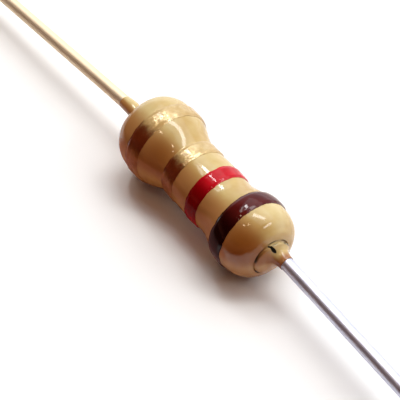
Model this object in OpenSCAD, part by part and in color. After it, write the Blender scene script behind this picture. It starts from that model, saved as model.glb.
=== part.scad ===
// Axial carbon film resistor, quarter watt, lying on a flat surface.
// Millimetres. The body's axis runs along X: the tolerance band is at the -X end ("far") and the first
// value band at the +X end ("near"). Z is up, the surface is at z = 0, and the origin is under the
// middle of the whole part. The body rests on its two bulges, and each lead droops until its tip
// touches the surface.

/* [Body] */
// Length of the lacquered body over its two domes
body_l = 6.5; // [5.8:0.1:6.8]
// Diameter of the bulge over the far end cap
far_bulge_d = 2.6; // [2.3:0.02:2.7]
// Diameter of the bulge over the near end cap
near_bulge_d = 2.4; // [2.3:0.02:2.7]
// Diameter of the waist where it meets each shoulder
waist_d = 1.92; // [1.86:0.02:2]
// Rise of the waist's radius half way along it, where the lacquer is thicker
waist_rise = 0.03; // [0:0.01:0.05]
// How square the far dome is: 2 is round, more is squarer
far_dome_power = 3.4; // [2.4:0.1:4]
// How square the near dome is: 2 is round, more is squarer
near_dome_power = 2.9; // [2.4:0.1:4]

/* [Leads] */
// Diameter of the tinned wire
wire_d = 0.4; // [0.3:0.01:0.6]
// Length of each lead outside the body
lead_l = 25; // [10:0.5:31]
// Straight stretch of wire between the coat's cone and the lead's first slight bend
neck_l = 0.25; // [0.1:0.05:2]
// Degrees that the far lead swings towards -Y
far_swing = 2.6; // [0:0.1:6]
// Degrees that the near lead swings towards -Y
near_swing = 1.7; // [0:0.1:4]
// How far the near lead runs level before it bends down to the surface
near_level_l = 8; // [3:0.5:12]
// How far the near lead is welded off the axis, in Y and Z
near_lead_offset = [0.13, 0.07]; // [0:0.01:0.15]

/* [Inside] */
// Diameter of the ceramic rod
core_d = 1.6; // [1.5:0.02:1.7]
// Wall of the carbon film, drawn thicker than the real one so that it has a wall
film_t = 0.04; // [0.03:0.005:0.05]
// Outer diameter of the pressed end caps
cap_d = 2.04; // [2:0.02:2.1]
// Length of an end cap
cap_l = 1.25; // [1:0.05:1.35]
// Thickness of an end cap's floor
cap_floor_t = 0.15; // [0.1:0.01:0.2]
// Distance between the outer faces of the two caps
over_caps = 5.7; // [5.6:0.02:5.74]
// Turns of the trimming groove cut through the film
groove_turns = 5; // [3:0.5:6]
// Advance of the groove for each turn
groove_pitch = 0.5; // [0.4:0.02:0.55]
// Width of the groove
groove_w = 0.1; // [0.08:0.01:0.15]

/* [Colour bands] */
// Thickness of the paint of a band
paint_t = 0.035; // [0.03:0.005:0.05]
// Middle of the brown band, the first digit, along the axis
brown_x = 2.05; // [1.9:0.01:2.2]
// Width of the brown band
brown_w = 0.6; // [0.4:0.05:0.7]
// Middle of the red band, the second digit
red_x = 0.6; // [0.5:0.01:0.7]
// Width of the red band
red_w = 0.5; // [0.4:0.05:0.7]
// Middle of the gold band that gives the multiplier
multiplier_x = -0.61; // [-0.8:0.01:-0.5]
// Width of the multiplier band
multiplier_w = 0.54; // [0.4:0.02:0.7]
// Middle of the gold band that gives the tolerance
tolerance_x = -2.02; // [-2.1:0.01:-1.9]
// Width of the tolerance band
tolerance_w = 0.56; // [0.4:0.02:0.8]

/* [Hidden] */
$fn = 64;
tiny = 0.01;

far_r = far_bulge_d / 2;
near_r = near_bulge_d / 2;
waist_r = waist_d / 2;
wire_r = wire_d / 2;
core_r = core_d / 2;
film_r = core_r + film_t;
cap_r = cap_d / 2;
cap_corner_r = 0.14;
cap_face = over_caps / 2;
core_l = over_caps - 2 * cap_floor_t;

// Stations of the coat along X: the ends of its domes, the crests of its bulges, and the waist
coat_end = body_l / 2;
far_crest = -coat_end + 1.25;
near_crest = coat_end - 1.12;
far_waist = far_crest + 1.25;
near_waist = near_crest - 1.1;

// The coat draws out along each wire as a small cone
cone_l = 0.45;
cone_tip_r = wire_r + 0.04;
cone_base_r = 0.36;

// At the near end the dome stops at a sharp crease, which rings a low mound
crease_r = 0.58;
crease_w = 0.06;
crease_depth = 0.1;
mound_r = crease_r - crease_w / 2;
mound_h = 0.13;

// The slit that the lacquer left beside the near wire when it shrank: its two ends and its width
slit_ends = [[3.2, -0.17, 0.55], [3.4, -0.02, 0.33]];
slit_w = 0.1;

// The weld that joins each wire to its cap
weld_r = 0.34;
weld_h = 0.16;

function ease(u) = (1 - cos(180 * u)) / 2;
function dome(u, power) = pow(1 - pow(u, power), 1 / power);

// Radius of the coat at a station between the two dome ends
function coat_r(x) =
    x < far_crest ? far_r * dome((far_crest - x) / (far_crest + coat_end), far_dome_power)
    : x < far_waist ? far_r + (waist_r - far_r) * ease((x - far_crest) / (far_waist - far_crest))
    : x < near_waist ? waist_r + waist_rise * ease(2 * (x - far_waist) / (near_waist - far_waist))
    : x < near_crest ? waist_r + (near_r - waist_r) * ease((x - near_waist) / (near_crest - near_waist))
    : near_r * dome((x - near_crest) / (coat_end - near_crest), near_dome_power);

// Station at which the near dome has a radius
function dome_x(r) = near_crest + (coat_end - near_crest) * dome(r / near_r, near_dome_power);

// A dome as points, from its crest (t = 90) down to where the radius is stop_r
function dome_points(crest, end, r, power, stop_r) =
    [for (t = [84:-6:6]) let (q = r * pow(sin(t), 2 / power)) if (q > stop_r)
        [q, crest + (end - crest) * pow(cos(t), 2 / power)]];
function reversed(list) = [for (i = [len(list) - 1:-1:0]) list[i]];

// The coat's outline as [radius, station], from the far end to the near one
coat_points = concat(
    [[0, -coat_end]],
    reversed(dome_points(far_crest, -coat_end, far_r, far_dome_power, 0)),
    [for (i = [0:15]) let (x = far_crest + (far_waist - far_crest) * i / 16) [coat_r(x), x]],
    [for (i = [0:11]) let (x = far_waist + (near_waist - far_waist) * i / 12) [coat_r(x), x]],
    [for (i = [0:16]) let (x = near_waist + (near_crest - near_waist) * i / 16) [coat_r(x), x]],
    dome_points(near_crest, coat_end, near_r, near_dome_power, crease_r + crease_w),
    [[crease_r + crease_w / 2, dome_x(crease_r + crease_w / 2)], [crease_r, coat_end - crease_depth]],
    [for (t = [0:15:90]) [mound_r * cos(t), coat_end + mound_h * sin(t)]]);

// How the part lies. The tolerance and brown bands cover the crests of the two bulges, so it rests on
// their paint. The body leans by lean, so that both touch the surface, and its middle is lift above it.
lean = atan2(far_r - near_r, near_crest - far_crest);
lift = (far_r + paint_t - (far_r - near_r) * -far_crest / (near_crest - far_crest)) * cos(lean);

// Where a point given about the body's own axis and middle is when the body lies on the surface
function on_surface(p) =
    [cos(lean) * p[0] + sin(lean) * p[2], p[1], lift + cos(lean) * p[2] - sin(lean) * p[0]];
// The point a length l ahead of p, where swing turns about Z and slope is downwards
function ahead(p, swing, slope, l) =
    p + l * [cos(slope) * cos(swing), cos(slope) * sin(swing), -sin(slope)];
// The slope that brings the tip of a wire of length l down to the surface
function settling_slope(p, l) = asin((p[2] - wire_r) / l);

// Each lead runs straight out of its cone and bends by a few degrees. The far one slopes down to its
// tip at once. The near one first runs level, and then bends once more.
bend_x = coat_end + cone_l + neck_l;
free_l = lead_l - cone_l - neck_l;
near_slope_l = free_l - near_level_l;
far_start = on_surface([-bend_x, 0, 0]);
far_tip = ahead(far_start, 180 + far_swing, settling_slope(far_start, free_l), free_l);
near_start = on_surface([bend_x, near_lead_offset[0], near_lead_offset[1]]);
near_bend = ahead(near_start, -near_swing, 0, near_level_l);
near_tip = ahead(near_bend, -near_swing, settling_slope(near_bend, near_slope_l), near_slope_l);

// A bend is a knuckle a hair fatter than the wire, and the two straights stop just short of its middle.
// It is turned askew, so that its poles lie inside the wire and clear of the wire's axis.
knuckle_r = wire_r * 1.03;
knuckle_gap = wire_r * 0.1;
knuckle_turn = [0, 30, 40];

// The origin is under the middle of the box round the whole part
middle = [(near_tip[0] + far_tip[0]) / 2, (far_r + paint_t + far_tip[1] - wire_r) / 2, 0];

// Places what is drawn about the body's own axis as it lies on the surface
module as_it_lies() {
    translate([0, 0, lift] - middle) rotate([0, lean, 0]) children();
}

// Draws a piece of the near end at the far end
module at_far_end() {
    rotate([0, 0, 180]) children();
}

// Turns a piece drawn along Z so that it lies along X
module along_x() {
    rotate([0, 90, 0]) children();
}

module ceramic_core() {
    color("ivory") as_it_lies() along_x() cylinder(h = core_l, d = core_d, center = true);
}

// The helical cut, as a swept bar that passes right through the film
module trimming_groove() {
    step = 15;
    steps = groove_turns * 360 / step;
    section = [[core_r - film_t, -1], [film_r + film_t, -1], [film_r + film_t, 1], [core_r - film_t, 1]];
    points = [for (i = [0:steps], p = section)
        [p[0] * cos(i * step), p[0] * sin(i * step),
            groove_pitch * (i * step / 360 - groove_turns / 2) + p[1] * groove_w / 2]];
    sides = [for (i = [0:steps - 1], j = [0:3]) let (a = 4 * i + j, b = 4 * i + (j + 1) % 4)
        each [[a, b, a + 4], [b, b + 4, a + 4]]];
    last = 4 * steps;
    ends = [[2, 1, 0], [3, 2, 0], [last, last + 1, last + 2], [last, last + 2, last + 3]];
    polyhedron(points, concat(sides, ends));
}

module carbon_film() {
    color("dimgray") as_it_lies() along_x() difference() {
        cylinder(h = core_l, r = film_r, center = true);
        cylinder(h = core_l + 2 * tiny, r = core_r, center = true);
        trimming_groove();
    }
}

// The outside of a cap, along +X, with the rounded corner that pressing gives it
module cap_outside() {
    translate([cap_face - cap_l, 0, 0]) along_x() rotate_extrude() {
        square([cap_r, cap_l - cap_corner_r]);
        square([cap_r - cap_corner_r, cap_l]);
        translate([cap_r - cap_corner_r, cap_l - cap_corner_r]) intersection() {
            circle(cap_corner_r);
            square(cap_corner_r);
        }
    }
}

module end_cap() {
    difference() {
        cap_outside();
        along_x() cylinder(h = core_l / 2, r = film_r);
    }
}

module end_cap_near() {
    color("silver") as_it_lies() end_cap();
}

module end_cap_far() {
    color("silver") as_it_lies() at_far_end() end_cap();
}

// The foot where the wire is welded to the cap
module weld_foot() {
    along_x() rotate_extrude() polygon(concat(
        [[0, 0], [weld_r, 0]],
        [for (s = [0.15:0.17:1]) [wire_r + (weld_r - wire_r) * pow(1 - s, 1.6), weld_h * s]],
        [[wire_r, weld_h], [0, weld_h]]));
}

// A lead from its weld to its first bend
module lead_root(offset) {
    translate([cap_face, offset[0], offset[1]]) {
        weld_foot();
        along_x() cylinder(h = bend_x - cap_face - knuckle_gap, d = wire_d);
    }
}

// A straight of wire from a knuckle at point a towards point b, stopping end_gap short of b
module straight(a, b, end_gap) {
    run = b - a;
    translate(a - middle) rotate([0, acos(run[2] / norm(run)), atan2(run[1], run[0])]) {
        rotate(knuckle_turn) sphere(r = knuckle_r);
        translate([0, 0, knuckle_gap]) cylinder(h = norm(run) - knuckle_gap - end_gap, d = wire_d);
    }
}

module lead_near() {
    color("lightgray") {
        as_it_lies() lead_root(near_lead_offset);
        straight(near_start, near_bend, knuckle_gap);
        straight(near_bend, near_tip, 0);
    }
}

module lead_far() {
    color("lightgray") {
        as_it_lies() at_far_end() lead_root([0, 0]);
        straight(far_start, far_tip, 0);
    }
}

// The cone of lacquer round a wire, from inside the dome to its tip
module lead_cone(offset) {
    translate([0, offset[0], offset[1]]) along_x() rotate_extrude() polygon(concat(
        [[0, cap_face], [cone_base_r, cap_face]],
        [for (s = [0:0.2:1])
            [cone_tip_r + (cone_base_r - cone_tip_r) * pow(1 - s, 2), coat_end + cone_l * s]],
        [[0, coat_end + cone_l]]));
}

module coat_outside() {
    along_x() rotate_extrude() polygon(coat_points);
    lead_cone(near_lead_offset);
    at_far_end() lead_cone([0, 0]);
}

// What the slit takes out of the mound: a spindle that is pointed at both ends
module slit() {
    run = slit_ends[1] - slit_ends[0];
    translate(slit_ends[0]) rotate([0, acos(run[2] / norm(run)), atan2(run[1], run[0])])
        rotate_extrude($fn = 24)
            polygon([for (t = [0:20:180]) [slit_w / 2 * sin(t), norm(run) / 2 * (1 - cos(t))]]);
}

module lacquer_coat() {
    color("burlywood") as_it_lies() difference() {
        coat_outside();
        slit();
        along_x() cylinder(h = core_l, r = film_r, center = true);
        cap_outside();
        at_far_end() cap_outside();
        lead_root(near_lead_offset);
        at_far_end() lead_root([0, 0]);
    }
}

// A ring of paint that follows the coat and is thinner at its two edges
module band(x, w) {
    steps = 10;
    edge = [for (i = [0:steps]) let (s = x + w * (i / steps - 0.5))
        [coat_r(s) + paint_t * (i == 0 || i == steps ? 0.4 : 1), s]];
    as_it_lies() along_x() rotate_extrude() difference() {
        polygon(concat([[waist_r / 2, x - w / 2]], edge, [[waist_r / 2, x + w / 2]]));
        polygon(coat_points);
    }
}

module band_brown() {
    color([0.27, 0.09, 0.08]) band(brown_x, brown_w);
}

module band_red() {
    color([0.75, 0.05, 0.08]) band(red_x, red_w);
}

module band_gold_multiplier() {
    color([0.72, 0.52, 0.25]) band(multiplier_x, multiplier_w);
}

module band_gold_tolerance() {
    color([0.72, 0.52, 0.25]) band(tolerance_x, tolerance_w);
}

ceramic_core();
carbon_film();
end_cap_far();
end_cap_near();
lead_far();
lead_near();
lacquer_coat();
band_brown();
band_red();
band_gold_multiplier();
band_gold_tolerance();
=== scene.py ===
import math

import bpy
from mathutils import Matrix, Vector


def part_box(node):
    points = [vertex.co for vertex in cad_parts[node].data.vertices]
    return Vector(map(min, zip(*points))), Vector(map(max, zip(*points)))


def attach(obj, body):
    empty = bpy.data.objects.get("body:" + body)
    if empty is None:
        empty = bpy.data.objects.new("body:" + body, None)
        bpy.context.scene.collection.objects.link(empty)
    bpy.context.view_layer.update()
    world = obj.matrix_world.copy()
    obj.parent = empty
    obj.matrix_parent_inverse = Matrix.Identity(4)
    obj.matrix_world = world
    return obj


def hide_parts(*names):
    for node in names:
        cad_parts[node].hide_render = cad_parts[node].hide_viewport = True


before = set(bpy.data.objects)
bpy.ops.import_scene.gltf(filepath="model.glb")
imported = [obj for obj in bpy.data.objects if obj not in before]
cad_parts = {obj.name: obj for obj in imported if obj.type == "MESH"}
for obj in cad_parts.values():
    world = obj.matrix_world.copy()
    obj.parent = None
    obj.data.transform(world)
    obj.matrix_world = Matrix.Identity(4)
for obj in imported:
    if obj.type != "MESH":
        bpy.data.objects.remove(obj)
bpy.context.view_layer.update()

MM = 0.001
WIRE_R = 0.2 * MM
PAINT_T = 0.035 * MM

# The coat's stations along the body's own axis, and its radius at each, as the solids have them
COAT_END = 3.25 * MM
FAR_CREST, FAR_WAIST = -2.0 * MM, -0.75 * MM
NEAR_WAIST, NEAR_CREST = 1.03 * MM, 2.13 * MM
FAR_R, NEAR_R, WAIST_R = 1.3 * MM, 1.2 * MM, 0.96 * MM
WAIST_RISE = 0.03 * MM
FAR_DOME_POWER, NEAR_DOME_POWER = 3.4, 2.9

# The cone of lacquer round each wire, and the crease and the low mound round the near one
CONE_L = 0.45 * MM
CONE_TIP_R = WIRE_R + 0.02 * MM
CONE_BASE_R = 0.36 * MM
CREASE_R, CREASE_W, CREASE_DEPTH = 0.58 * MM, 0.06 * MM, 0.1 * MM
CREASE_MIDDLE = Vector((0, -0.03, -0.01)) * MM
MOUND_H = 0.13 * MM
NEAR_LEAD_OFFSET = Vector((0, 0.13, 0.07)) * MM

# The near cone ends in a small lip, and the far one runs on along its wire as a thin film of lacquer
LIP = 0.01 * MM
FAR_FILM_L, FAR_FILM_T = 0.6 * MM, 0.035 * MM

# The slit beside the near wire, where the lacquer drew away from it, from its root to its end
SLIT = [Vector((3.2, -0.17, 0.55)) * MM, Vector((3.4, -0.02, 0.33)) * MM]
SLIT_W, SLIT_DEPTH = 0.1 * MM, 0.08 * MM

# The whole range of the uneven dip, the share of it that is inwards, and how far a band's edge wanders
DIP, DIP_INWARDS = 0.045 * MM, 0.72
EDGE_WANDER = 0.07 * MM

# What the coat is dipped over
FILM_R = 0.84 * MM
CAP_FACE = 2.85 * MM
CAP_L = 1.25 * MM
CAP_R = 1.02 * MM
CAP_CORNER = 0.14 * MM
WELD_R, WELD_H = 0.34 * MM, 0.16 * MM
WELD_MID_R, WELD_MID_H = 0.26 * MM, 0.4 * WELD_H

# The leads: how far a ring stands from each bend, and the small chamfer that the cut leaves on a tip
BEND_X = 3.95 * MM
LEAD_FREE_L = 24.3 * MM
NEAR_LEVEL_L = 8 * MM
NEAR_SWING, FAR_SWING = math.radians(1.7), math.radians(2.6)
BEND_GAP = 0.1 * MM
TIP_CHAMFER_L, TIP_R = 0.04 * MM, 0.82 * WIRE_R

# The bands: middle and width along the axis
BANDS = {
    "band_brown": (2.05 * MM, 0.6 * MM),
    "band_red": (0.6 * MM, 0.5 * MM),
    "band_gold_multiplier": (-0.61 * MM, 0.54 * MM),
    "band_gold_tolerance": (-2.02 * MM, 0.56 * MM),
}

# How the body lies: the core's middle is the body's own middle, and the axis leans by LEAN
core_low, core_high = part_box("ceramic_core")
BODY_MIDDLE = (core_low + core_high) / 2
LEAN = math.atan2(FAR_R - NEAR_R, NEAR_CREST - FAR_CREST)
BODY_PLACE = Matrix.Translation(BODY_MIDDLE) @ Matrix.Rotation(LEAN, 4, "Y")

# The camera: its direction from the body, its distance, how far left and down it aims, and its lens
CAMERA_AZIMUTH, CAMERA_ELEVATION = math.radians(55.06), math.radians(46.68)
CAMERA_DISTANCE = 39.72 * MM
AIM_LEFT, AIM_DOWN = 0.166 * MM, 0.408 * MM
LENS, SENSOR_W = 123.1, 36

# The lamps stand this far off, in metres, and the wide ones lie along a line turned from the X axis
LAMP_DISTANCE = 2.5
LAMP_TURN = math.radians(16.8)
LAMPS_ALONG = Vector((math.cos(LAMP_TURN), math.sin(LAMP_TURN), 0))
BEHIND = Vector((-math.sin(LAMP_TURN), math.cos(LAMP_TURN), 0))


def ease(u):
    return (1 - math.cos(math.pi * u)) / 2


def coat_r(x):
    """Radius of the coat at a station between the crests of its two bulges."""
    if x < FAR_WAIST:
        return FAR_R + (WAIST_R - FAR_R) * ease(max(0, x - FAR_CREST) / (FAR_WAIST - FAR_CREST))
    if x < NEAR_WAIST:
        return WAIST_R + WAIST_RISE * ease(2 * (x - FAR_WAIST) / (NEAR_WAIST - FAR_WAIST))
    return WAIST_R + (NEAR_R - WAIST_R) * ease(min(1, (x - NEAR_WAIST) / (NEAR_CREST - NEAR_WAIST)))


def dome_r(x):
    """Radius of a dome at a station beyond its crest."""
    if x < 0:
        crest, end, radius, power = FAR_CREST, -COAT_END, FAR_R, FAR_DOME_POWER
    else:
        crest, end, radius, power = NEAR_CREST, COAT_END, NEAR_R, NEAR_DOME_POWER
    return radius * max(0, 1 - ((x - crest) / (end - crest)) ** power) ** (1 / power)


def dome_x(r):
    """Station at which the near dome has a radius."""
    share = (1 - (r / NEAR_R) ** NEAR_DOME_POWER) ** (1 / NEAR_DOME_POWER)
    return NEAR_CREST + (COAT_END - NEAR_CREST) * share


def skin_r(x):
    """Radius of the coat at any station."""
    return coat_r(x) if FAR_CREST <= x <= NEAR_CREST else dome_r(x)


def dome_rings(crest, end, radius, power, smallest_r, step=4):
    """Rings of a dome from its crest to where its radius is smallest_r, as (x, radius, centre)."""
    rings = []
    for degrees in range(90 - step, 0, -step):
        t = math.radians(degrees)
        r = radius * math.sin(t) ** (2 / power)
        if r > smallest_r:
            rings.append((crest + (end - crest) * math.cos(t) ** (2 / power), r, Vector()))
    return rings


def cone_rings(side, offset, first_s):
    """Rings of a cone of lacquer, from the share first_s of its length to its tip."""
    rings = []
    for i in range(7):
        s = first_s + (1 - first_s) * i / 6
        r = CONE_TIP_R + (CONE_BASE_R - CONE_TIP_R) * (1 - s) ** 2
        rings.append((side * (COAT_END + CONE_L * s), r, offset))
    return rings


def ahead(start, swing, slope, length):
    """The point a length ahead of start, where swing turns about Z and slope is downwards."""
    return start + length * Vector((math.cos(slope) * math.cos(swing), math.cos(slope) * math.sin(swing),
                                    -math.sin(slope)))


def settled_tip(start, swing, length):
    """The tip of a straight of wire that slopes from start down to the floor."""
    return ahead(start, swing, math.asin((start.z - WIRE_R) / length), length)


def far_lead_ends():
    """The far lead's bend and its tip."""
    start = BODY_PLACE @ Vector((-BEND_X, 0, 0))
    return start, settled_tip(start, math.pi + FAR_SWING, LEAD_FREE_L)


def far_lead_centre(x):
    """How far the far lead's centre is off the body's own axis at a station: nothing before its bend."""
    if x > -BEND_X:
        return Vector()
    start, tip = far_lead_ends()
    way = BODY_PLACE.inverted() @ tip - Vector((-BEND_X, 0, 0))
    return (x + BEND_X) / way.x * Vector((0, way.y, way.z))


# Modelling

def begin_rings(name, ring, sides):
    """Adds one open ring round the X axis and leaves it selected in edit mode."""
    x, r, centre = ring
    bpy.ops.object.select_all(action="DESELECT")
    bpy.ops.mesh.primitive_circle_add(vertices=sides, radius=r, fill_type="NOTHING",
                                      location=centre + Vector((x, 0, 0)), rotation=(0, math.pi / 2, 0))
    piece = bpy.context.object
    piece.name = name
    bpy.ops.object.transform_apply(location=True, rotation=True, scale=True)
    bpy.ops.object.mode_set(mode="EDIT")
    bpy.ops.mesh.select_all(action="SELECT")
    return piece


def extrude_rings(rings):
    """Extrudes the selected ring through the rest of the rings."""
    for (x0, r0, c0), (x1, r1, c1) in zip(rings, rings[1:]):
        move = c1 - c0 + Vector((x1 - x0, 0, 0))
        bpy.ops.mesh.extrude_region_move(TRANSFORM_OT_translate={"value": move})
        bpy.ops.transform.resize(value=(1, r1 / r0, r1 / r0), center_override=c1 + Vector((x1, 0, 0)))


def end_modelling():
    """Merges the doubles, turns the faces outwards and leaves edit mode."""
    bpy.ops.mesh.select_all(action="SELECT")
    bpy.ops.mesh.remove_doubles(threshold=0.0002 * MM)
    bpy.ops.mesh.normals_make_consistent(inside=False)
    bpy.ops.object.mode_set(mode="OBJECT")


def apply_modifier(piece, kind, **settings):
    """Adds a modifier with its settings and applies it."""
    modifier = piece.modifiers.new(kind.lower(), kind)
    for key, value in settings.items():
        setattr(modifier, key, value)
    bpy.context.view_layer.objects.active = piece
    bpy.ops.object.modifier_apply(modifier=modifier.name)


def weigh(piece, name, weight):
    """Makes a vertex group, with each point's weight worked out from its place."""
    group = piece.vertex_groups.new(name=name)
    for vertex in piece.data.vertices:
        group.add([vertex.index], weight(vertex.co), "REPLACE")


def clouds(name, grain, depth):
    """A procedural cloud texture whose grain is a real size."""
    texture = bpy.data.textures.new(name, "CLOUDS")
    texture.noise_scale = grain
    texture.noise_depth = depth
    return texture


def place(piece, matrix):
    """Moves a finished piece to where it lies, with its object left at the origin."""
    bpy.ops.object.select_all(action="DESELECT")
    piece.select_set(True)
    bpy.context.view_layer.objects.active = piece
    piece.matrix_world = matrix
    bpy.ops.object.transform_apply(location=True, rotation=True, scale=True)


def smooth(piece, degrees=40):
    bpy.ops.object.select_all(action="DESELECT")
    piece.select_set(True)
    bpy.context.view_layer.objects.active = piece
    bpy.ops.object.shade_smooth_by_angle(angle=math.radians(degrees))


def declare(piece, node, slot, *materials):
    """Gives a piece its materials, hangs it on the root and hides the solid it stands for."""
    for material in materials:
        piece.data.materials.append(material)
    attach(piece, "root")
    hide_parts(node)


def dress(node, material):
    """Gives one of the frame's own solids its material."""
    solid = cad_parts[node]
    solid.data.materials.clear()
    solid.data.materials.append(material)


# Materials

def rgb(code):
    """An sRGB hex colour as linear RGBA."""
    parts = [int(code[i:i + 2], 16) / 255 for i in (1, 3, 5)]
    return tuple(p / 12.92 if p <= 0.04045 else ((p + 0.055) / 1.055) ** 2.4 for p in parts) + (1,)


def add(tree, kind, settings=None, **links):
    """Adds a node with its settings, and links or sets its inputs by name or by number."""
    node = tree.nodes.new(kind)
    for key, value in (settings or {}).items():
        setattr(node, key, value)
    for key, value in links.items():
        name = key[1:] if key[0] == "_" else key.replace("_", " ")
        socket = node.inputs[int(name)] if name.isdigit() else node.inputs[name]
        if isinstance(value, bpy.types.NodeSocket):
            tree.links.new(value, socket)
        else:
            socket.default_value = value
    return node


def new_material(name):
    material = bpy.data.materials.new(name)
    material.use_nodes = True
    tree = material.node_tree
    tree.nodes.clear()
    return material, tree


def ramp(tree, factor, stops):
    """Colours or greys along a factor: stops are (place, colour)."""
    node = add(tree, "ShaderNodeValToRGB", _0=factor)
    elements = node.color_ramp.elements
    while len(elements) < len(stops):
        elements.new(0.5)
    for element, (position, colour) in zip(elements, stops):
        element.position = position
        element.color = rgb(colour)
    return node.outputs["Color"]


def body_place(tree):
    """Places in millimetres along and round the body's own axis, from its middle."""
    where = add(tree, "ShaderNodeTexCoord").outputs["Object"]
    return add(tree, "ShaderNodeMapping", {"vector_type": "TEXTURE"}, Vector=where, Location=BODY_MIDDLE,
               Rotation=(0, LEAN, 0), Scale=(MM, MM, MM)).outputs[0]


def fade(tree, value, start, end):
    """1 where a value is at start, fading to 0 where it is at end."""
    return add(tree, "ShaderNodeMapRange", {"interpolation_type": "SMOOTHSTEP"}, Value=value,
               From_Min=min(start, end), From_Max=max(start, end), To_Min=float(start < end),
               To_Max=float(start > end)).outputs[0]


def distance(tree, where, centre):
    return add(tree, "ShaderNodeVectorMath", {"operation": "DISTANCE"}, _0=where,
               _1=centre).outputs["Value"]


def round_from(tree, where, degrees, full, none):
    """1 on the side of the body that lies degrees up from -Y, as far as full, fading to 0 at none."""
    angle = math.radians(degrees)
    across = add(tree, "ShaderNodeVectorMath", {"operation": "MULTIPLY"}, _0=where, _1=(0, 1, 1)).outputs[0]
    outwards = add(tree, "ShaderNodeVectorMath", {"operation": "NORMALIZE"}, _0=across).outputs[0]
    facing = add(tree, "ShaderNodeVectorMath", {"operation": "DOT_PRODUCT"}, _0=outwards,
                 _1=(0, -math.cos(angle), math.sin(angle))).outputs["Value"]
    return fade(tree, facing, math.cos(math.radians(full)), math.cos(math.radians(none)))


def maths(tree, operation, a, b, c=0.0):
    return add(tree, "ShaderNodeMath", {"operation": operation}, _0=a, _1=b, _2=c).outputs[0]


def blend(tree, factor, a, b):
    """A colour mixed from a to b: each is a hex colour or a socket."""
    node = add(tree, "ShaderNodeMix", {"data_type": "RGBA"}, _0=factor)
    for number, colour in ((6, a), (7, b)):
        if isinstance(colour, str):
            node.inputs[number].default_value = rgb(colour)
        else:
            tree.links.new(colour, node.inputs[number])
    return node.outputs[2]


def dipped_lacquer():
    """Tan epoxy lacquer, dipped and baked: high gloss that breaks up over the uneven dip.

    It is browner on the near cone. The browner side, 34 degrees up from -Y, and two brown patches on that
    side, over the near cap and between the gold bands, are painted shade, and painted shade darkens the
    crease.
    """
    material, tree = new_material("dipped_tan_lacquer")
    where = body_place(tree)
    along = add(tree, "ShaderNodeSeparateXYZ", Vector=where).outputs["X"]
    drift = add(tree, "ShaderNodeTexNoise", Vector=where, Scale=0.9, Detail=3.0, Roughness=0.55).outputs[0]
    tone = ramp(tree, drift, [(0.3, "#BC9A58"), (0.5, "#C8AE70"), (0.7, "#D2C08A")])
    # Painted shade: browner on the side that lies 34 degrees up from -Y
    tone = blend(tree, round_from(tree, where, 34, 8, 44), tone, "#AC7C48")
    # Painted shade: two browner patches on that side, over the near cap and between the gold bands
    for spot, size, strength in (((2.86, -0.8, 0.7), 1.05, 0.8), ((-1.1, -0.8, 0.8), 0.95, 0.6)):
        painted_shade = fade(tree, distance(tree, where, spot), 0.1, size)
        tone = blend(tree, maths(tree, "MULTIPLY", painted_shade, strength), tone, "#8A4E14")
    near_tip = fade(tree, along, 3.62, 3.42)
    tone = blend(tree, maths(tree, "MULTIPLY", near_tip, 0.75), tone, "#8A3E14")

    # Painted shade: a patchy dark ring in the crease round the near wire
    across = add(tree, "ShaderNodeVectorMath", {"operation": "MULTIPLY"}, _0=where, _1=(0, 1, 1)).outputs[0]
    off_ring = maths(tree, "SUBTRACT", distance(tree, across, CREASE_MIDDLE / MM), CREASE_R / MM)
    ring = fade(tree, maths(tree, "ABSOLUTE", off_ring, 0.0), 0.01, 0.05)
    shade_patchiness = add(tree, "ShaderNodeTexNoise", Vector=where, Scale=2.2, Detail=2.0).outputs[0]
    patchy = maths(tree, "MULTIPLY", ring, fade(tree, shade_patchiness, 0.62, 0.38))
    crease = maths(tree, "MULTIPLY", patchy, fade(tree, along, 3.1, 3.0))
    tone = blend(tree, crease, tone, "#3C3A22")

    peel = add(tree, "ShaderNodeTexNoise", Vector=where, Scale=2.6, Detail=3.0).outputs[0]
    bump = add(tree, "ShaderNodeBump", Strength=0.07, Distance=0.02 * MM, Height=peel)
    shader = add(tree, "ShaderNodeBsdfPrincipled", Base_Color=tone, Roughness=0.11, IOR=1.5,
                 Normal=bump.outputs[0])
    add(tree, "ShaderNodeOutputMaterial", Surface=shader.outputs[0])
    return material


def band_paint(name, colours, shade_colour):
    """Stove enamel of one code colour, rolled on in a stripe: very glossy, with painted shade on the side
    28 degrees up from -Y.
    """
    material, tree = new_material(name)
    where = body_place(tree)
    drift = add(tree, "ShaderNodeTexNoise", Vector=where, Scale=3.0, Detail=3.0).outputs[0]
    tone = ramp(tree, drift, [(0.3, colours[0]), (0.7, colours[1])])
    # Painted shade: darker on the side that lies 28 degrees up from -Y
    tone = blend(tree, round_from(tree, where, 28, 10, 47), tone, shade_colour)
    bump = add(tree, "ShaderNodeBump", Strength=0.15, Distance=0.02 * MM, Height=drift)
    shader = add(tree, "ShaderNodeBsdfPrincipled", Base_Color=tone, Roughness=0.07, IOR=1.3,
                 Normal=bump.outputs[0])
    add(tree, "ShaderNodeOutputMaterial", Surface=shader.outputs[0])
    return material


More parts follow.
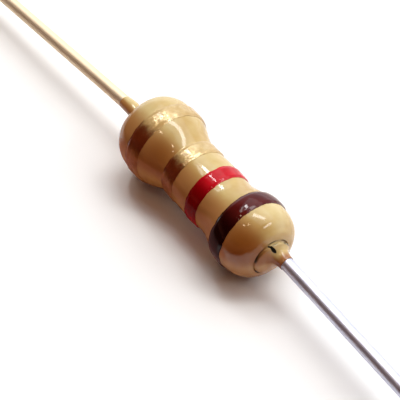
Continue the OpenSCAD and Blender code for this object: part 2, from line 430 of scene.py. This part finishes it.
def gold_flake_paint():
    """Clear enamel full of bronze flake over the tan coat.

    Each flake lies at its own slight slant, so the stripe glints where it faces the lamps. The dark
    red-brown on the side 40 degrees up from -Y is a painted dark reflection, and the browner gold below it
    is painted shade.
    """
    material, tree = new_material("gold_flake_enamel")
    where = body_place(tree)
    flakes = add(tree, "ShaderNodeTexVoronoi", Vector=where, Scale=1 / 0.045)
    slant = add(tree, "ShaderNodeVectorMath", {"operation": "MULTIPLY_ADD"}, _0=flakes.outputs["Color"],
                _1=(0.26, 0.26, 0.26), _2=(-0.13, -0.13, -0.13)).outputs[0]
    upright = add(tree, "ShaderNodeNewGeometry").outputs["Normal"]
    leaning = add(tree, "ShaderNodeVectorMath", {"operation": "ADD"}, _0=upright, _1=slant).outputs[0]
    normal = add(tree, "ShaderNodeVectorMath", {"operation": "NORMALIZE"}, _0=leaning).outputs[0]
    noise = add(tree, "ShaderNodeTexNoise", Vector=where, Scale=4.0, Detail=4.0, Roughness=0.6).outputs
    drift = noise[0]
    shift = add(tree, "ShaderNodeVectorMath", {"operation": "MULTIPLY_ADD"}, _0=noise["Color"],
                _1=(0.5, 0.5, 0.5), _2=(-0.25, -0.25, -0.25)).outputs[0]
    ragged = add(tree, "ShaderNodeVectorMath", {"operation": "ADD"}, _0=where, _1=shift).outputs[0]
    # Painted shade: browner gold and varnish on the low side, 18 degrees up from -Y
    painted_shade = round_from(tree, ragged, 18, 8, 40)
    # Painted reflection: dark red-brown on the side 40 degrees up from -Y
    dark = round_from(tree, ragged, 40, 2, 26)
    thick = round_from(tree, where, 225, 40, 90)
    metal = blend(tree, thick, ramp(tree, drift, [(0.35, "#C8AC78"), (0.65, "#E0CCA0")]), "#A87C3C")
    metal = blend(tree, dark, blend(tree, painted_shade, metal, "#B8844A"), "#8A4422")
    flake = add(tree, "ShaderNodeBsdfPrincipled", Base_Color=metal, Metallic=1.0, Roughness=0.3,
                Normal=normal)
    brown = blend(tree, thick, "#C4A468", "#946226")
    brown = blend(tree, dark, blend(tree, painted_shade, brown, "#9A6830"), "#6A2A10")
    varnish = add(tree, "ShaderNodeBsdfPrincipled", Base_Color=brown, Roughness=0.15, IOR=1.5)
    cover = ramp(tree, drift, [(0.35, "#484848"), (0.6, "#B0B0B0")])
    both = add(tree, "ShaderNodeMixShader", Fac=cover, _1=varnish.outputs[0], _2=flake.outputs[0])
    add(tree, "ShaderNodeOutputMaterial", Surface=both.outputs[0])
    return material


def tinned_wire():
    """Copper wire dipped in tin: a soft, greyish mirror with drawing marks, yellowed at the far end."""
    material, tree = new_material("tinned_copper_wire")
    where = body_place(tree)
    drawn = add(tree, "ShaderNodeMapping", Vector=where, Scale=(0.1, 1, 1)).outputs[0]
    marks = add(tree, "ShaderNodeTexNoise", Vector=drawn, Scale=12.0, Detail=2.0).outputs[0]
    tin = ramp(tree, marks, [(0.3, "#CCCEE0"), (0.7, "#E0E1F0")])
    along = add(tree, "ShaderNodeSeparateXYZ", Vector=where).outputs["X"]
    yellowed = fade(tree, along, -3.0, 3.0)
    tone = blend(tree, maths(tree, "MULTIPLY", yellowed, 0.9), tin, "#F0DCB8")
    dull = maths(tree, "MULTIPLY_ADD", yellowed, 0.14, 0.46)
    bump = add(tree, "ShaderNodeBump", Strength=0.15, Distance=0.01 * MM, Height=marks)
    shader = add(tree, "ShaderNodeBsdfPrincipled", Base_Color=tone, Metallic=1.0, Roughness=dull,
                 Normal=bump.outputs[0])
    add(tree, "ShaderNodeOutputMaterial", Surface=shader.outputs[0])
    return material


def plain_grain(name, colours, roughness, metallic, grain, depth):
    """A solid colour with a fine grain: grain is its size and depth its relief, both in millimetres."""
    material, tree = new_material(name)
    noise = add(tree, "ShaderNodeTexNoise", Vector=body_place(tree), Scale=1 / grain, Detail=4.0).outputs[0]
    tone = ramp(tree, noise, [(0.35, colours[0]), (0.65, colours[1])])
    bump = add(tree, "ShaderNodeBump", Strength=0.5, Distance=depth * MM, Height=noise)
    shader = add(tree, "ShaderNodeBsdfPrincipled", Base_Color=tone, Metallic=metallic, Roughness=roughness,
                 Normal=bump.outputs[0])
    add(tree, "ShaderNodeOutputMaterial", Surface=shader.outputs[0])
    return material


# The camera, the lights and the floor

def set_camera():
    level = math.cos(CAMERA_ELEVATION)
    back = Vector((math.sin(CAMERA_AZIMUTH) * level, -math.cos(CAMERA_AZIMUTH) * level,
                   math.sin(CAMERA_ELEVATION)))
    right = Vector((math.cos(CAMERA_AZIMUTH), math.sin(CAMERA_AZIMUTH), 0))
    target = BODY_MIDDLE - AIM_LEFT * right - AIM_DOWN * back.cross(right)
    bpy.ops.object.camera_add(location=target + CAMERA_DISTANCE * back,
                              rotation=back.to_track_quat("Z", "Y").to_euler())
    camera = bpy.context.object
    camera.data.lens = LENS
    camera.data.sensor_width = SENSOR_W
    camera.data.clip_start = 1 * MM
    camera.data.clip_end = 20
    bpy.context.scene.camera = camera


def add_panel(name, start, end, width, radiance, colour=(1, 1, 1)):
    """A flat lamp that faces the body, from one direction to another: width is in radians."""
    start, end = Vector(start).normalized(), Vector(end).normalized()
    z = (start + end).normalized()
    x = (end - start).normalized()
    turn = Matrix((x, z.cross(x), z)).transposed()
    bpy.ops.object.light_add(type="AREA", location=BODY_MIDDLE + LAMP_DISTANCE * z,
                            rotation=turn.to_euler())
    lamp = bpy.context.object
    lamp.name = name
    lamp.data.shape = "RECTANGLE"
    lamp.data.size = 2 * LAMP_DISTANCE * math.tan(start.angle(end) / 2)
    lamp.data.size_y = LAMP_DISTANCE * width
    lamp.data.energy = radiance * math.pi * lamp.data.size * lamp.data.size_y
    lamp.data.color = colour
    lamp.visible_camera = False


def set_lights():
    """A wide softbox and a dim, warm panel beside it, and small bright lamps that make the highlights."""
    for name, low, high, radiance, colour in (("overhead", -20, 0, 0.4, (1, 0.35, 0.15)),
                                              ("softbox", 0, 50, 1.35, (0.96, 1, 1.04))):
        middle, half = math.radians((low + high) / 2), math.radians((high - low) / 2)
        towards = math.sin(middle) * BEHIND + Vector((0, 0, math.cos(middle)))
        add_panel(name, towards - 0.7 * LAMPS_ALONG, towards + 0.7 * LAMPS_ALONG, 2 * math.tan(half),
                  radiance, colour)
    add_panel("strip", (-0.24, 0.16, 0.94), (0.22, 0.5, 0.83), 0.18, 9)
    add_panel("strip_end", (-0.58, 0.05, 0.82), (-0.52, -0.16, 0.84), 0.05, 7)
    add_panel("window", (-0.48, 0.055, 0.87), (-0.42, 0.075, 0.89), 0.07, 34)
    add_panel("window_side", (-0.53, 0.11, 0.83), (-0.53, 0.21, 0.82), 0.08, 40)
    add_panel("small_lamp_high", (0.01, -0.32, 0.95), (0.06, -0.3, 0.95), 0.05, 30, (1, 0.8, 0.55))
    add_panel("small_lamp_low", (-0.15, -0.48, 0.866), (-0.11, -0.48, 0.866), 0.05, 25, (1, 0.8, 0.55))
    add_panel("end_lamp", (0.69, 0.25, 0.68), (0.5, 0.65, 0.57), 0.14, 8)


def level_by_height(tree, height, low, high, low_level, high_level):
    """A strength that goes from one level to another between two heights of the world."""
    return add(tree, "ShaderNodeMapRange", {"interpolation_type": "SMOOTHSTEP"}, Value=height, From_Min=low,
               From_Max=high, To_Min=low_level, To_Max=high_level).outputs[0]


def set_world():
    """A bright wall behind the body and a dim, warm room on its other side. The camera sees plain white."""
    world = bpy.data.worlds.new("studio")
    bpy.context.scene.world = world
    world.use_nodes = True
    tree = world.node_tree
    tree.nodes.clear()
    where = add(tree, "ShaderNodeTexCoord").outputs["Generated"]
    height = add(tree, "ShaderNodeSeparateXYZ", Vector=where).outputs["Z"]
    towards = add(tree, "ShaderNodeVectorMath", {"operation": "DOT_PRODUCT"}, _0=where,
                  _1=BEHIND).outputs["Value"]
    room_level = level_by_height(tree, height, 0.02, 0.3, 0.35, 0.04)
    wall_level = level_by_height(tree, height, 0.05, 0.35, 1.6, 1.05)
    room = add(tree, "ShaderNodeBackground", Color=(1, 0.35, 0.2, 1), Strength=room_level)
    wall = add(tree, "ShaderNodeBackground", Color=(0.97, 1, 1.05, 1), Strength=wall_level)
    both = add(tree, "ShaderNodeMixShader", Fac=fade(tree, towards, 0.65, 0.1), _1=room.outputs[0],
               _2=wall.outputs[0])
    white = add(tree, "ShaderNodeBackground", Color=(1, 1, 1, 1), Strength=1.0)
    seen = add(tree, "ShaderNodeMixShader", Fac=add(tree, "ShaderNodeLightPath").outputs["Is Camera Ray"],
               _1=both.outputs[0], _2=white.outputs[0])
    add(tree, "ShaderNodeOutputWorld", Surface=seen.outputs[0])


def lay_floor():
    """A card that looks white to the camera, and throws a dimmer, warmer light back at the body.

    What the body mirrors of it is white too, but for a painted shadow on a strip that runs forwards from
    under the body, and a painted dark reflection in front of it.
    """
    bpy.ops.object.select_all(action="DESELECT")
    bpy.ops.mesh.primitive_plane_add(size=6)
    floor = bpy.context.object
    floor.name = "floor"
    material, tree = new_material("matt_white_card")
    path = add(tree, "ShaderNodeLightPath").outputs
    where = add(tree, "ShaderNodeTexCoord").outputs["Object"]
    from_body = add(tree, "ShaderNodeMapping", {"vector_type": "TEXTURE"}, Vector=where,
                    Location=(BODY_MIDDLE.x, BODY_MIDDLE.y, 0), Rotation=(0, 0, math.radians(55)),
                    Scale=(MM, MM, MM)).outputs[0]
    strip = add(tree, "ShaderNodeSeparateXYZ", Vector=from_body).outputs
    beside = maths(tree, "ABSOLUTE", strip["Y"], 0.0)
    # Painted shadow, seen only in reflections: a strip that runs forwards from under the body
    shaded = maths(tree, "MULTIPLY", fade(tree, beside, 2.6, 3.6), fade(tree, strip["X"], -1.0, 0.6))
    mirrored = blend(tree, shaded, "#F4F4F2", "#AD7C79")
    front = add(tree, "ShaderNodeSeparateXYZ", Vector=where).outputs["Y"]
    # Painted dark reflection in front of the body, seen only in reflections
    mirrored = blend(tree, fade(tree, front, -6 * MM, -3.5 * MM), mirrored, "#3C2A22")
    tone = blend(tree, path["Is Glossy Ray"], "#C08E72", mirrored)
    tone = blend(tree, path["Is Camera Ray"], tone, "#F4F4F2")
    shader = add(tree, "ShaderNodeBsdfDiffuse", Color=tone)
    add(tree, "ShaderNodeOutputMaterial", Surface=shader.outputs[0])
    floor.data.materials.append(material)


# The pieces

def inner_wall(side, offset):
    """The coat's inner wall over one lead, its weld and its cap, from the cone's tip to the film."""
    stations = [(COAT_END + CONE_L, WIRE_R, offset), (CAP_FACE + WELD_H, WIRE_R, offset),
                (CAP_FACE + WELD_MID_H, WELD_MID_R, offset), (CAP_FACE, WELD_R, offset),
                (CAP_FACE, CAP_R - CAP_CORNER, Vector()), (CAP_FACE - CAP_CORNER, CAP_R, Vector()),
                (CAP_FACE - CAP_L, CAP_R, Vector()), (CAP_FACE - CAP_L, FILM_R, Vector())]
    return [(side * x, r, centre) for x, r, centre in stations]


def coat_weight(point):
    """1 on the coat's skin between its two ends, and 0 on the cones and on the inner wall."""
    off_axis = math.hypot(point.y, point.z)
    return 1.0 if abs(point.x) < 3.1 * MM and off_axis > skin_r(point.x) - 0.05 * MM else 0.0


def cut_slit(piece, inside):
    """Sinks a narrow slit into the mound beside the near wire, with its own material inside, which paints
    shade there.
    """
    start, end = SLIT
    turn = (end - start).to_track_quat("X", "Z")
    bpy.ops.mesh.primitive_uv_sphere_add(segments=24, ring_count=16, radius=1, location=(start + end) / 2)
    cutter = bpy.context.object
    cutter.rotation_euler = turn.to_euler()
    cutter.scale = ((end - start).length / 2, SLIT_W / 2, SLIT_DEPTH)
    cutter.data.materials.append(inside)
    apply_modifier(piece, "BOOLEAN", operation="DIFFERENCE", solver="EXACT", material_mode="TRANSFER",
                   object=cutter)
    bpy.data.objects.remove(cutter)


def lacquer_coat(lacquer, slit_shade):
    """The dipped coat as a closed shell: its skin from cone to cone, and its wall over what it covers."""
    lead, axis = NEAR_LEAD_OFFSET, Vector()
    film = []
    for i in range(7):
        x = -COAT_END - CONE_L - FAR_FILM_L * (1 - i / 6)
        film.append((x, WIRE_R + FAR_FILM_T * (i / 6) ** 0.5, far_lead_centre(x)))
    rings = film[:-1] + list(reversed(cone_rings(-1, axis, 0.1)))
    rings += reversed(dome_rings(FAR_CREST, -COAT_END, FAR_R, FAR_DOME_POWER, CONE_BASE_R))
    steps = 60
    rings += [(x, coat_r(x), axis) for x in
              (FAR_CREST + (NEAR_CREST - FAR_CREST) * i / steps for i in range(steps + 1))]
    rings += dome_rings(NEAR_CREST, COAT_END, NEAR_R, NEAR_DOME_POWER, CREASE_R + CREASE_W)
    rings += [(dome_x(CREASE_R + CREASE_W / 2), CREASE_R + CREASE_W / 2, CREASE_MIDDLE),
              (COAT_END - CREASE_DEPTH, CREASE_R, CREASE_MIDDLE)]
    mound_r = CREASE_R - CREASE_W / 2
    for degrees in (-15, 0, 10, 20, 30, 40):
        rise = math.sin(math.radians(degrees))
        rings.append((COAT_END + MOUND_H * rise, mound_r * math.cos(math.radians(degrees)),
                      CREASE_MIDDLE.lerp(lead, rise)))
    rings += cone_rings(1, lead, 0.35)
    rings.append((COAT_END + CONE_L + LIP, WIRE_R + LIP, lead))
    rings += inner_wall(1, lead) + list(reversed(inner_wall(-1, axis)))
    rings += [(x, WIRE_R, centre) for x, r, centre in reversed(film[1:-1])]
    piece = begin_rings("dipped_coat", rings[0], 96)
    extrude_rings(rings + rings[:1])
    end_modelling()
    weigh(piece, "skin", coat_weight)
    apply_modifier(piece, "DISPLACE", texture=clouds("uneven_dip", 1.2 * MM, 1), strength=DIP,
                   mid_level=DIP_INWARDS, vertex_group="skin")
    piece.data.materials.append(lacquer)
    cut_slit(piece, slit_shade)
    place(piece, BODY_PLACE)
    smooth(piece, 50)
    declare(piece, "lacquer_coat", "tan_lacquer")
    return piece


def band(node, slot, coat, material):
    """A stripe of paint laid on the coat: it follows the dip, wanders at its edges and thins out there."""
    x, w = BANDS[node]
    steps = 14
    piece = begin_rings("painted_" + node, (x - w / 2, skin_r(x - w / 2), Vector()), 192)
    extrude_rings([(s, skin_r(s), Vector()) for s in (x + w * (i / steps - 0.5) for i in range(steps + 1))])
    end_modelling()
    weigh(piece, "edges", lambda point: max(0.0, abs(point.x - x) / (w / 2) * 2 - 1))
    weigh(piece, "paint", lambda point: 1.0 if abs(point.x - x) < 0.8 * w / 2 else 0.0)
    apply_modifier(piece, "DISPLACE", texture=clouds("edge_of_" + node, 0.25 * MM, 2), strength=EDGE_WANDER,
                   mid_level=0.5, direction="X", vertex_group="edges")
    place(piece, BODY_PLACE)
    apply_modifier(piece, "SHRINKWRAP", target=coat, wrap_method="NEAREST_SURFACEPOINT")
    under = 0.02 * MM
    whole = PAINT_T + under
    apply_modifier(piece, "SOLIDIFY", thickness=whole, offset=(PAINT_T - under) / whole,
                   vertex_group="paint", thickness_vertex_group=0.3)
    smooth(piece, 60)
    declare(piece, node, slot, material)


def lead_wire(name, node, side, offset, points, material):
    """A lead from its weld, through its bends, to its cut tip."""
    def on_body(x):
        return BODY_PLACE @ (Vector((side * x, 0, 0)) + offset)

    stations = [(on_body(CAP_FACE), WELD_R), (on_body(CAP_FACE + WELD_MID_H), WELD_MID_R),
                (on_body(CAP_FACE + WELD_H), WIRE_R), (on_body(BEND_X - BEND_GAP), WIRE_R)]
    for a, b in zip(points, points[1:]):
        along = (b - a).normalized()
        stations += [(a + BEND_GAP * along, WIRE_R), (b - BEND_GAP * along, WIRE_R)]
    stations[-1] = (points[-1] - TIP_CHAMFER_L * along, WIRE_R)
    stations.append((points[-1], TIP_R))
    rings = [(p.x, r, Vector((0, p.y, p.z))) for p, r in stations]
    piece = begin_rings(name, rings[0], 48)
    bpy.ops.mesh.edge_face_add()
    extrude_rings(rings)
    end_modelling()
    smooth(piece, 40)
    declare(piece, node, "tinned_wire", material)


def leads():
    """The two leads, of one wire."""
    wire = tinned_wire()
    near_start = BODY_PLACE @ (Vector((BEND_X, 0, 0)) + NEAR_LEAD_OFFSET)
    near_bend = ahead(near_start, -NEAR_SWING, 0, NEAR_LEVEL_L)
    near_tip = settled_tip(near_bend, -NEAR_SWING, LEAD_FREE_L - NEAR_LEVEL_L)
    lead_wire("near_lead", "lead_near", 1, NEAR_LEAD_OFFSET, [near_start, near_bend, near_tip], wire)
    lead_wire("far_lead", "lead_far", -1, Vector(), far_lead_ends(), wire)


bpy.context.scene.view_settings.view_transform = "Standard"
set_camera()
set_lights()
set_world()
lay_floor()
lacquer = dipped_lacquer()
# Painted shade: the near-black inside of the slit
slit_shade = plain_grain("painted_slit_shade", ("#14160C", "#2A2A18"), 0.5, 0.0, 0.05, 0.004)
coat = lacquer_coat(lacquer, slit_shade)
band("band_brown", "brown_paint", coat, band_paint("brown_enamel", ("#4A100E", "#581612"), "#1E0302"))
band("band_red", "red_paint", coat, band_paint("red_enamel", ("#B60A1A", "#C81022"), "#780206"))
gold = gold_flake_paint()
band("band_gold_multiplier", "gold_paint", coat, gold)
band("band_gold_tolerance", "gold_paint", coat, gold)
leads()
dress("ceramic_core", plain_grain("fired_alumina", ("#E4DFD3", "#EEEAE0"), 0.75, 0.0, 0.05, 0.004))
dress("carbon_film", plain_grain("baked_carbon_film", ("#1C1B1A", "#262524"), 0.5, 0.0, 0.03, 0.002))
tinned_steel = plain_grain("tinned_pressed_steel", ("#B4B2AE", "#C6C4C0"), 0.35, 1.0, 0.1, 0.003)
dress("end_cap_far", tinned_steel)
dress("end_cap_near", tinned_steel)
